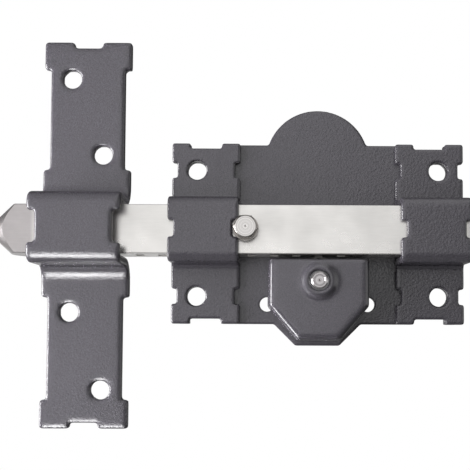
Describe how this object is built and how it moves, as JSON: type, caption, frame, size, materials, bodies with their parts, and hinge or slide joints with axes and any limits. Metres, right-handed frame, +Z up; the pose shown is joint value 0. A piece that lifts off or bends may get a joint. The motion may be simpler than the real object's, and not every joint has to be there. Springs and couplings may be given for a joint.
{
  "type": "surface-mounted deadbolt lock",
  "caption": "Surface-mounted deadbolt lock: steel bar bolt sliding in notched strap bridges on a plate, with keeper strap, pull knob, drive wheel under a cover and a spring push button.",
  "frame": {"origin": "on the drive axis (wheel, push button and cylinder tailpiece) at the door's face, which is the back of the plate", "axes": "+X along the bolt, away from the keeper; +Y into the door; +Z up"},
  "size_m": [0.194, 0.029, 0.1607],
  "materials": {
    "painted_sheet": "dark grey stoved paint with a fine hammered grain",
    "bolt_steel": "satin nickel-plated steel",
    "bright_nickel": "turned and polished nickel plate",
    "plain_steel": "zinc-plated steel",
    "spring_steel": "drawn spring steel"
  },
  "bodies": {
    "lock_case": {"back_plate": "painted_sheet", "left_bridge": "painted_sheet", "right_bridge": "painted_sheet", "keeper": "painted_sheet", "cover_box": "painted_sheet", "wheel_bush": "plain_steel", "guide_post_left": "plain_steel", "guide_post_right": "plain_steel", "button_spring_left": "spring_steel", "button_spring_right": "spring_steel"},
    "bolt": {"bolt": "bolt_steel", "knob": "bright_nickel", "knob_stud": "plain_steel"},
    "wheel": {"drive_wheel": "plain_steel", "wheel_clip": "spring_steel"},
    "button": {"push_button": "bright_nickel", "lock_flange": "plain_steel", "lock_pin_left": "plain_steel", "lock_pin_right": "plain_steel", "button_clip": "spring_steel"}
  },
  "joints": [
    {"name": "bolt_slide", "type": "slide", "parent": "lock_case", "child": "bolt", "axis": [1, 0, 0], "range_m": [0, 0.054]},
    {"name": "wheel_turn", "type": "hinge", "parent": "lock_case", "child": "wheel", "pos_m": [0, 0, 0], "axis": [0, 1, 0], "range_deg": [0, 270.1]},
    {"name": "button_press", "type": "slide", "parent": "lock_case", "child": "button", "axis": [0, 1, 0], "range_m": [0, 0.0022], "stiffness_N_per_m": 900, "springref_m": -0.004, "deforming": ["button_spring_left", "button_spring_right"]}
  ],
  "couplings": [
    {"joint": "wheel_turn", "follows": "bolt_slide", "rad_per_m": 87.266}
  ]
}
